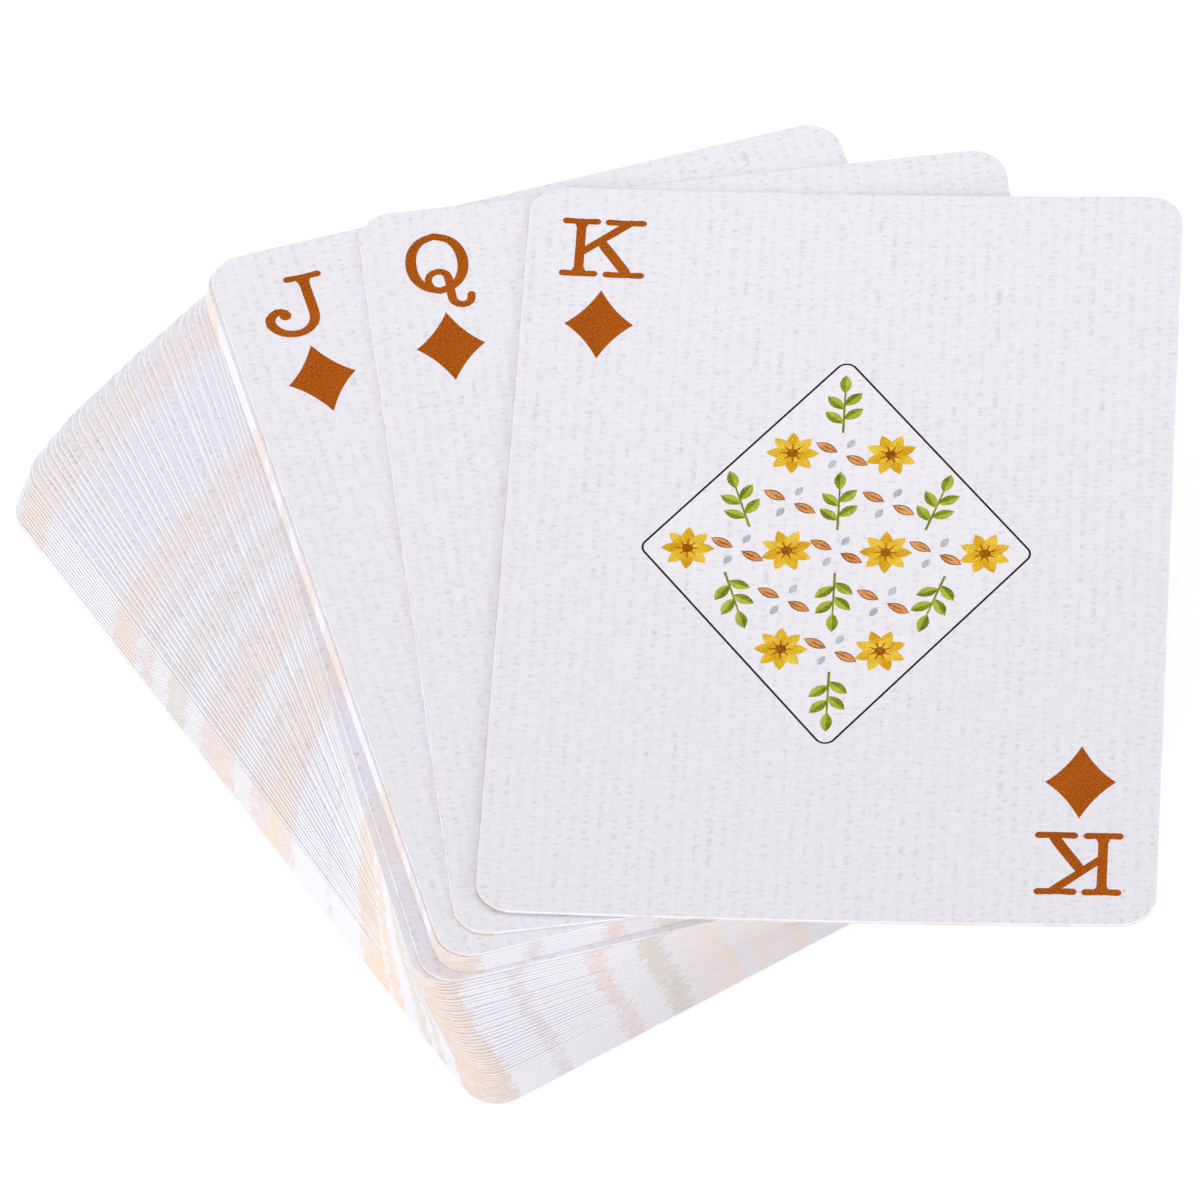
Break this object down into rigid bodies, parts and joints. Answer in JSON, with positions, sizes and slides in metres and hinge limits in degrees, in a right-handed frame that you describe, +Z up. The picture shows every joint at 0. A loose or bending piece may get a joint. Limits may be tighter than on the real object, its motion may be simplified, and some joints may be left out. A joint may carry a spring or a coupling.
{
  "type": "deck of playing cards",
  "caption": "Deck of poker-size playing cards spread into a hand-turned fan; every card is a separate sheet that turns flat on the heap.",
  "frame": {"origin": "centre of the bottom card, on the table under it", "axes": "+Z up; +Y along the long side of the bottom card, away from the corner that the fan turns about"},
  "size_m": [0.108, 0.1158, 0.0167],
  "materials": {
    "card_stock": "coated, low sheen"
  },
  "bodies": {
    "king_of_diamonds": {"king_of_diamonds": "card_stock"},
    "queen_of_diamonds": {"queen_of_diamonds": "card_stock"},
    "jack_of_diamonds": {"jack_of_diamonds": "card_stock"},
    "ten_of_diamonds": {"ten_of_diamonds": "card_stock"},
    "nine_of_diamonds": {"nine_of_diamonds": "card_stock"},
    "eight_of_diamonds": {"eight_of_diamonds": "card_stock"},
    "seven_of_diamonds": {"seven_of_diamonds": "card_stock"},
    "six_of_diamonds": {"six_of_diamonds": "card_stock"},
    "five_of_diamonds": {"five_of_diamonds": "card_stock"},
    "four_of_diamonds": {"four_of_diamonds": "card_stock"},
    "three_of_diamonds": {"three_of_diamonds": "card_stock"},
    "two_of_diamonds": {"two_of_diamonds": "card_stock"},
    "ace_of_diamonds": {"ace_of_diamonds": "card_stock"},
    "king_of_clubs": {"king_of_clubs": "card_stock"},
    "queen_of_clubs": {"queen_of_clubs": "card_stock"},
    "jack_of_clubs": {"jack_of_clubs": "card_stock"},
    "ten_of_clubs": {"ten_of_clubs": "card_stock"},
    "nine_of_clubs": {"nine_of_clubs": "card_stock"},
    "eight_of_clubs": {"eight_of_clubs": "card_stock"},
    "seven_of_clubs": {"seven_of_clubs": "card_stock"},
    "six_of_clubs": {"six_of_clubs": "card_stock"},
    "five_of_clubs": {"five_of_clubs": "card_stock"},
    "four_of_clubs": {"four_of_clubs": "card_stock"},
    "three_of_clubs": {"three_of_clubs": "card_stock"},
    "two_of_clubs": {"two_of_clubs": "card_stock"},
    "ace_of_clubs": {"ace_of_clubs": "card_stock"},
    "king_of_hearts": {"king_of_hearts": "card_stock"},
    "queen_of_hearts": {"queen_of_hearts": "card_stock"},
    "jack_of_hearts": {"jack_of_hearts": "card_stock"},
    "ten_of_hearts": {"ten_of_hearts": "card_stock"},
    "nine_of_hearts": {"nine_of_hearts": "card_stock"},
    "eight_of_hearts": {"eight_of_hearts": "card_stock"},
    "seven_of_hearts": {"seven_of_hearts": "card_stock"},
    "six_of_hearts": {"six_of_hearts": "card_stock"},
    "five_of_hearts": {"five_of_hearts": "card_stock"},
    "four_of_hearts": {"four_of_hearts": "card_stock"},
    "three_of_hearts": {"three_of_hearts": "card_stock"},
    "two_of_hearts": {"two_of_hearts": "card_stock"},
    "ace_of_hearts": {"ace_of_hearts": "card_stock"},
    "king_of_spades": {"king_of_spades": "card_stock"},
    "queen_of_spades": {"queen_of_spades": "card_stock"},
    "jack_of_spades": {"jack_of_spades": "card_stock"},
    "ten_of_spades": {"ten_of_spades": "card_stock"},
    "nine_of_spades": {"nine_of_spades": "card_stock"},
    "eight_of_spades": {"eight_of_spades": "card_stock"},
    "seven_of_spades": {"seven_of_spades": "card_stock"},
    "six_of_spades": {"six_of_spades": "card_stock"},
    "five_of_spades": {"five_of_spades": "card_stock"},
    "four_of_spades": {"four_of_spades": "card_stock"},
    "three_of_spades": {"three_of_spades": "card_stock"},
    "two_of_spades": {"two_of_spades": "card_stock"},
    "ace_of_spades": {"ace_of_spades": "card_stock"},
    "red_joker": {"red_joker": "card_stock"},
    "black_joker": {"black_joker": "card_stock"}
  },
  "joints": [
    {"name": "king_of_diamonds_turn", "type": "hinge", "parent": "black_joker", "child": "king_of_diamonds", "pos_m": [-0.0137, -0.04755, 0.01643], "axis": [0, 0, 1], "range_deg": [-84.3, 35.7]},
    {"name": "queen_of_diamonds_turn", "type": "hinge", "parent": "black_joker", "child": "queen_of_diamonds", "pos_m": [-0.012, -0.0457, 0.01612], "axis": [0, 0, 1], "range_deg": [-92.14, 25.6]},
    {"name": "jack_of_diamonds_turn", "type": "hinge", "parent": "black_joker", "child": "jack_of_diamonds", "pos_m": [-0.009, -0.0419, 0.01581], "axis": [0, 0, 1], "range_deg": [-98.87, 16.6]},
    {"name": "ten_of_diamonds_turn", "type": "hinge", "parent": "black_joker", "child": "ten_of_diamonds", "pos_m": [-0.009, -0.0409, 0.0155], "axis": [0, 0, 1], "range_deg": [-96.71, 16.5]},
    {"name": "nine_of_diamonds_turn", "type": "hinge", "parent": "black_joker", "child": "nine_of_diamonds", "pos_m": [-0.009, -0.0409, 0.01519], "axis": [0, 0, 1], "range_deg": [-94.48, 16.47]},
    {"name": "eight_of_diamonds_turn", "type": "hinge", "parent": "black_joker", "child": "eight_of_diamonds", "pos_m": [-0.009, -0.0409, 0.01488], "axis": [0, 0, 1], "range_deg": [-92.25, 16.43]},
    {"name": "seven_of_diamonds_turn", "type": "hinge", "parent": "black_joker", "child": "seven_of_diamonds", "pos_m": [-0.009, -0.0409, 0.01457], "axis": [0, 0, 1], "range_deg": [-90.02, 16.4]},
    {"name": "six_of_diamonds_turn", "type": "hinge", "parent": "black_joker", "child": "six_of_diamonds", "pos_m": [-0.009, -0.0409, 0.01426], "axis": [0, 0, 1], "range_deg": [-87.78, 16.37]},
    {"name": "five_of_diamonds_turn", "type": "hinge", "parent": "black_joker", "child": "five_of_diamonds", "pos_m": [-0.009, -0.0409, 0.01395], "axis": [0, 0, 1], "range_deg": [-85.55, 16.33]},
    {"name": "four_of_diamonds_turn", "type": "hinge", "parent": "black_joker", "child": "four_of_diamonds", "pos_m": [-0.009, -0.0409, 0.01364], "axis": [0, 0, 1], "range_deg": [-83.32, 16.3]},
    {"name": "three_of_diamonds_turn", "type": "hinge", "parent": "black_joker", "child": "three_of_diamonds", "pos_m": [-0.0107, -0.0353, 0.01333], "axis": [0, 0, 1], "range_deg": [-79.96, 17.4]},
    {"name": "two_of_diamonds_turn", "type": "hinge", "parent": "black_joker", "child": "two_of_diamonds", "pos_m": [-0.0101, -0.0328, 0.01302], "axis": [0, 0, 1], "range_deg": [-77.29, 17.8]},
    {"name": "ace_of_diamonds_turn", "type": "hinge", "parent": "black_joker", "child": "ace_of_diamonds", "pos_m": [-0.0101, -0.0328, 0.01271], "axis": [0, 0, 1], "range_deg": [-75.43, 17.4]},
    {"name": "king_of_clubs_turn", "type": "hinge", "parent": "black_joker", "child": "king_of_clubs", "pos_m": [-0.0101, -0.0328, 0.0124], "axis": [0, 0, 1], "range_deg": [-73.57, 17]},
    {"name": "queen_of_clubs_turn", "type": "hinge", "parent": "black_joker", "child": "queen_of_clubs", "pos_m": [-0.0101, -0.0328, 0.01209], "axis": [0, 0, 1], "range_deg": [-71.95, 16.35]},
    {"name": "jack_of_clubs_turn", "type": "hinge", "parent": "black_joker", "child": "jack_of_clubs", "pos_m": [-0.0101, -0.0328, 0.01178], "axis": [0, 0, 1], "range_deg": [-70.24, 15.8]},
    {"name": "ten_of_clubs_turn", "type": "hinge", "parent": "black_joker", "child": "ten_of_clubs", "pos_m": [-0.0101, -0.0328, 0.01147], "axis": [0, 0, 1], "range_deg": [-68.12, 15.65]},
    {"name": "nine_of_clubs_turn", "type": "hinge", "parent": "black_joker", "child": "nine_of_clubs", "pos_m": [-0.0101, -0.0328, 0.01116], "axis": [0, 0, 1], "range_deg": [-66.61, 14.9]},
    {"name": "eight_of_clubs_turn", "type": "hinge", "parent": "black_joker", "child": "eight_of_clubs", "pos_m": [-0.0101, -0.0328, 0.01085], "axis": [0, 0, 1], "range_deg": [-64.8, 14.45]},
    {"name": "seven_of_clubs_turn", "type": "hinge", "parent": "black_joker", "child": "seven_of_clubs", "pos_m": [-0.0101, -0.0328, 0.01054], "axis": [0, 0, 1], "range_deg": [-62.93, 14.05]},
    {"name": "six_of_clubs_turn", "type": "hinge", "parent": "black_joker", "child": "six_of_clubs", "pos_m": [-0.0101, -0.0328, 0.01023], "axis": [0, 0, 1], "range_deg": [-60.77, 13.95]},
    {"name": "five_of_clubs_turn", "type": "hinge", "parent": "black_joker", "child": "five_of_clubs", "pos_m": [-0.0101, -0.0328, 0.00992], "axis": [0, 0, 1], "range_deg": [-59.45, 13]},
    {"name": "four_of_clubs_turn", "type": "hinge", "parent": "black_joker", "child": "four_of_clubs", "pos_m": [-0.0101, -0.0328, 0.00961], "axis": [0, 0, 1], "range_deg": [-57.66, 12.53]},
    {"name": "three_of_clubs_turn", "type": "hinge", "parent": "black_joker", "child": "three_of_clubs", "pos_m": [-0.0101, -0.0328, 0.0093], "axis": [0, 0, 1], "range_deg": [-55.87, 12.05]},
    {"name": "two_of_clubs_turn", "type": "hinge", "parent": "black_joker", "child": "two_of_clubs", "pos_m": [-0.0101, -0.0328, 0.00899], "axis": [0, 0, 1], "range_deg": [-54.51, 11.15]},
    {"name": "ace_of_clubs_turn", "type": "hinge", "parent": "black_joker", "child": "ace_of_clubs", "pos_m": [-0.0101, -0.0328, 0.00868], "axis": [0, 0, 1], "range_deg": [-52.55, 10.85]},
    {"name": "king_of_hearts_turn", "type": "hinge", "parent": "black_joker", "child": "king_of_hearts", "pos_m": [-0.0101, -0.0328, 0.00837], "axis": [0, 0, 1], "range_deg": [-50.93, 10.2]},
    {"name": "queen_of_hearts_turn", "type": "hinge", "parent": "black_joker", "child": "queen_of_hearts", "pos_m": [-0.0101, -0.0328, 0.00806], "axis": [0, 0, 1], "range_deg": [-48.92, 9.95]},
    {"name": "jack_of_hearts_turn", "type": "hinge", "parent": "black_joker", "child": "jack_of_hearts", "pos_m": [-0.0101, -0.0328, 0.00775], "axis": [0, 0, 1], "range_deg": [-47.55, 9.05]},
    {"name": "ten_of_hearts_turn", "type": "hinge", "parent": "black_joker", "child": "ten_of_hearts", "pos_m": [-0.0101, -0.0328, 0.00744], "axis": [0, 0, 1], "range_deg": [-45.79, 8.55]},
    {"name": "nine_of_hearts_turn", "type": "hinge", "parent": "black_joker", "child": "nine_of_hearts", "pos_m": [-0.0101, -0.0328, 0.00713], "axis": [0, 0, 1], "range_deg": [-44.08, 8]},
    {"name": "eight_of_hearts_turn", "type": "hinge", "parent": "black_joker", "child": "eight_of_hearts", "pos_m": [-0.0101, -0.0328, 0.00682], "axis": [0, 0, 1], "range_deg": [-42.51, 7.3]},
    {"name": "seven_of_hearts_turn", "type": "hinge", "parent": "black_joker", "child": "seven_of_hearts", "pos_m": [-0.0101, -0.0328, 0.00651], "axis": [0, 0, 1], "range_deg": [-40.95, 6.6]},
    {"name": "six_of_hearts_turn", "type": "hinge", "parent": "black_joker", "child": "six_of_hearts", "pos_m": [-0.0101, -0.0328, 0.0062], "axis": [0, 0, 1], "range_deg": [-39.38, 5.9]},
    {"name": "five_of_hearts_turn", "type": "hinge", "parent": "black_joker", "child": "five_of_hearts", "pos_m": [-0.0101, -0.0328, 0.00589], "axis": [0, 0, 1], "range_deg": [-37.92, 5.1]},
    {"name": "four_of_hearts_turn", "type": "hinge", "parent": "black_joker", "child": "four_of_hearts", "pos_m": [-0.0101, -0.0328, 0.00558], "axis": [0, 0, 1], "range_deg": [-36.07, 4.68]},
    {"name": "three_of_hearts_turn", "type": "hinge", "parent": "black_joker", "child": "three_of_hearts", "pos_m": [-0.0101, -0.0328, 0.00527], "axis": [0, 0, 1], "range_deg": [-34.22, 4.27]},
    {"name": "two_of_hearts_turn", "type": "hinge", "parent": "black_joker", "child": "two_of_hearts", "pos_m": [-0.0101, -0.0328, 0.00496], "axis": [0, 0, 1], "range_deg": [-32.38, 3.85]},
    {"name": "ace_of_hearts_turn", "type": "hinge", "parent": "black_joker", "child": "ace_of_hearts", "pos_m": [-0.0101, -0.0328, 0.00465], "axis": [0, 0, 1], "range_deg": [-30.71, 3.25]},
    {"name": "king_of_spades_turn", "type": "hinge", "parent": "black_joker", "child": "king_of_spades", "pos_m": [-0.0101, -0.0328, 0.00434], "axis": [0, 0, 1], "range_deg": [-28.8, 2.9]},
    {"name": "queen_of_spades_turn", "type": "hinge", "parent": "black_joker", "child": "queen_of_spades", "pos_m": [-0.0101, -0.0328, 0.00403], "axis": [0, 0, 1], "range_deg": [-26.88, 2.55]},
    {"name": "jack_of_spades_turn", "type": "hinge", "parent": "black_joker", "child": "jack_of_spades", "pos_m": [-0.0101, -0.0328, 0.00372], "axis": [0, 0, 1], "range_deg": [-25.27, 1.9]},
    {"name": "ten_of_spades_turn", "type": "hinge", "parent": "black_joker", "child": "ten_of_spades", "pos_m": [-0.0101, -0.0328, 0.00341], "axis": [0, 0, 1], "range_deg": [-23.31, 1.6]},
    {"name": "nine_of_spades_turn", "type": "hinge", "parent": "black_joker", "child": "nine_of_spades", "pos_m": [-0.0101, -0.0328, 0.0031], "axis": [0, 0, 1], "range_deg": [-21.19, 1.45]},
    {"name": "eight_of_spades_turn", "type": "hinge", "parent": "black_joker", "child": "eight_of_spades", "pos_m": [-0.0101, -0.0328, 0.00279], "axis": [0, 0, 1], "range_deg": [-19.07, 1.31]},
    {"name": "seven_of_spades_turn", "type": "hinge", "parent": "black_joker", "child": "seven_of_spades", "pos_m": [-0.0101, -0.0328, 0.00248], "axis": [0, 0, 1], "range_deg": [-16.95, 1.16]},
    {"name": "six_of_spades_turn", "type": "hinge", "parent": "black_joker", "child": "six_of_spades", "pos_m": [-0.0101, -0.0328, 0.00217], "axis": [0, 0, 1], "range_deg": [-14.83, 1.02]},
    {"name": "five_of_spades_turn", "type": "hinge", "parent": "black_joker", "child": "five_of_spades", "pos_m": [-0.0101, -0.0328, 0.00186], "axis": [0, 0, 1], "range_deg": [-12.71, 0.87]},
    {"name": "four_of_spades_turn", "type": "hinge", "parent": "black_joker", "child": "four_of_spades", "pos_m": [-0.0101, -0.0328, 0.00155], "axis": [0, 0, 1], "range_deg": [-10.59, 0.73]},
    {"name": "three_of_spades_turn", "type": "hinge", "parent": "black_joker", "child": "three_of_spades", "pos_m": [-0.0101, -0.0328, 0.00124], "axis": [0, 0, 1], "range_deg": [-8.47, 0.58]},
    {"name": "two_of_spades_turn", "type": "hinge", "parent": "black_joker", "child": "two_of_spades", "pos_m": [-0.0101, -0.0328, 0.00093], "axis": [0, 0, 1], "range_deg": [-6.36, 0.44]},
    {"name": "ace_of_spades_turn", "type": "hinge", "parent": "black_joker", "child": "ace_of_spades", "pos_m": [-0.0101, -0.0328, 0.00062], "axis": [0, 0, 1], "range_deg": [-4.24, 0.29]},
    {"name": "red_joker_turn", "type": "hinge", "parent": "black_joker", "child": "red_joker", "pos_m": [-0.0101, -0.0328, 0.00031], "axis": [0, 0, 1], "range_deg": [-2.12, 0.15]}
  ]
}
